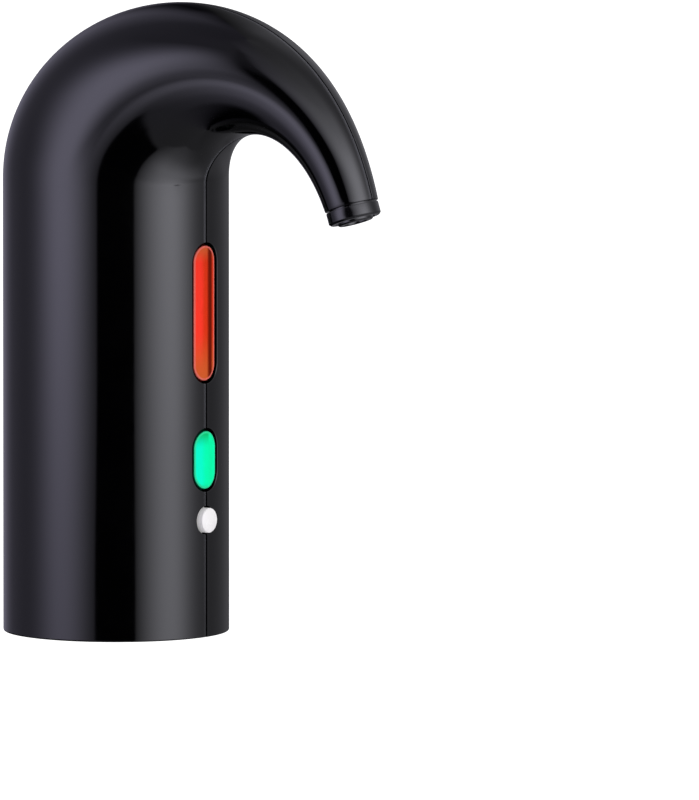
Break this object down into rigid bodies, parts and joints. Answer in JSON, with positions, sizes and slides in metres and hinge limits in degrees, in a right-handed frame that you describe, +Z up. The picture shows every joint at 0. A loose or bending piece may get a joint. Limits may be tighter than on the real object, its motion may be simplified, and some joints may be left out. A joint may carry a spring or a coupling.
{
  "type": "electric wine aerator",
  "caption": "Hooked electric wine aerator with a round body that stands on a bottle's neck, lit press keys on its front, an air pump inside and a telescopic dip tube that stows in the body.",
  "frame": {"origin": "centre of the seat of the bottle's lip, at the top of the stopper, on the axis of the round body", "axes": "+Z up along the body, +X towards the spout, y = 0 the parting plane of the two shells"},
  "size_m": [0.1119, 0.058, 0.163],
  "materials": {
    "shell_black": "gloss black moulded plastic",
    "trim_black": "satin black moulded plastic",
    "stopper_silicone": "dark grey silicone",
    "pour_lens": "translucent red-orange, lit from behind",
    "aerate_lens": "translucent green, lit from behind",
    "power_white": "white gloss",
    "switch_plastic": "black moulded plastic",
    "lamp_resin": "clear yellow resin",
    "board_green": "green solder mask",
    "frame_plastic": "dark grey moulded plastic",
    "screw_steel": "zinc plated",
    "pump_plastic": "natural white engineering plastic",
    "tube_steel": "drawn stainless steel",
    "hose_silicone": "translucent silicone",
    "motor_steel": "plated steel",
    "rotor_copper": "steel laminations with copper windings",
    "diaphragm_rubber": "black rubber",
    "cell_sleeve": "steel can in a blue plastic sleeve, at the mean density of a lithium cell",
    "contact_nickel": "nickel plated",
    "wire_insulation": "coloured plastic insulation"
  },
  "bodies": {
    "aerator_body": {"left_shell": "shell_black", "right_shell": "shell_black", "base_cover": "trim_black", "neck_socket": "trim_black", "spout_collar": "trim_black", "spout_nozzle": "trim_black", "bottle_stopper": "stopper_silicone", "key_switches": "switch_plastic", "control_chip": "switch_plastic", "key_lamps": "lamp_resin", "circuit_board": "board_green", "charging_board": "board_green", "inner_frame": "frame_plastic", "board_screws": "screw_steel", "frame_screws": "screw_steel", "base_screws": "screw_steel", "pump_screws": "screw_steel", "charging_screws": "screw_steel", "stopper_core": "pump_plastic", "tube_cap": "pump_plastic", "check_valve": "pump_plastic", "pump_base": "pump_plastic", "pump_rocker": "pump_plastic", "valve_plate": "pump_plastic", "pump_cover": "pump_plastic", "motor_end_cap": "pump_plastic", "tube_housing": "tube_steel", "wine_tube": "hose_silicone", "air_hose": "hose_silicone", "stopper_hose": "hose_silicone", "motor_can": "motor_steel", "motor_magnets": "motor_steel", "pump_diaphragm": "diaphragm_rubber", "battery_cell": "cell_sleeve", "battery_tabs": "contact_nickel", "charging_socket": "contact_nickel", "battery_wires": "wire_insulation", "motor_wires": "wire_insulation", "charging_wires": "wire_insulation"},
    "pour_key": {"pour_button": "pour_lens", "pour_plunger": "switch_plastic"},
    "aerate_key": {"aerate_button": "aerate_lens", "aerate_plunger": "switch_plastic"},
    "power_key": {"power_button": "power_white", "power_plunger": "switch_plastic"},
    "pump_drive": {"motor_rotor": "rotor_copper", "pump_crank": "pump_plastic"},
    "tube_upper": {"dip_tube_upper": "tube_steel"},
    "tube_middle": {"dip_tube_middle": "tube_steel"},
    "tube_lower": {"dip_tube_lower": "tube_steel", "tube_strainer": "pump_plastic"}
  },
  "joints": [
    {"name": "pour_key_press", "type": "slide", "parent": "aerator_body", "child": "pour_key", "axis": [-1, 0, 0], "range_m": [0, 0.0008], "stiffness_N_per_m": 1200, "springref_m": -0.0004},
    {"name": "aerate_key_press", "type": "slide", "parent": "aerator_body", "child": "aerate_key", "axis": [-1, 0, 0], "range_m": [0, 0.0008], "stiffness_N_per_m": 1200, "springref_m": -0.0004},
    {"name": "power_key_press", "type": "slide", "parent": "aerator_body", "child": "power_key", "axis": [-1, 0, 0], "range_m": [0, 0.0008], "stiffness_N_per_m": 1200, "springref_m": -0.0004},
    {"name": "pump_spin", "type": "hinge", "parent": "aerator_body", "child": "pump_drive", "pos_m": [0, -0.0145, 0.02], "axis": [0, 0, 1], "continuous": true},
    {"name": "upper_tube_slide", "type": "slide", "parent": "aerator_body", "child": "tube_upper", "axis": [0, 0, -1], "range_m": [0, 0.086]},
    {"name": "middle_tube_slide", "type": "slide", "parent": "tube_upper", "child": "tube_middle", "axis": [0, 0, -1], "range_m": [0, 0.086]},
    {"name": "lower_tube_slide", "type": "slide", "parent": "tube_middle", "child": "tube_lower", "axis": [0, 0, -1], "range_m": [0, 0.086]}
  ]
}
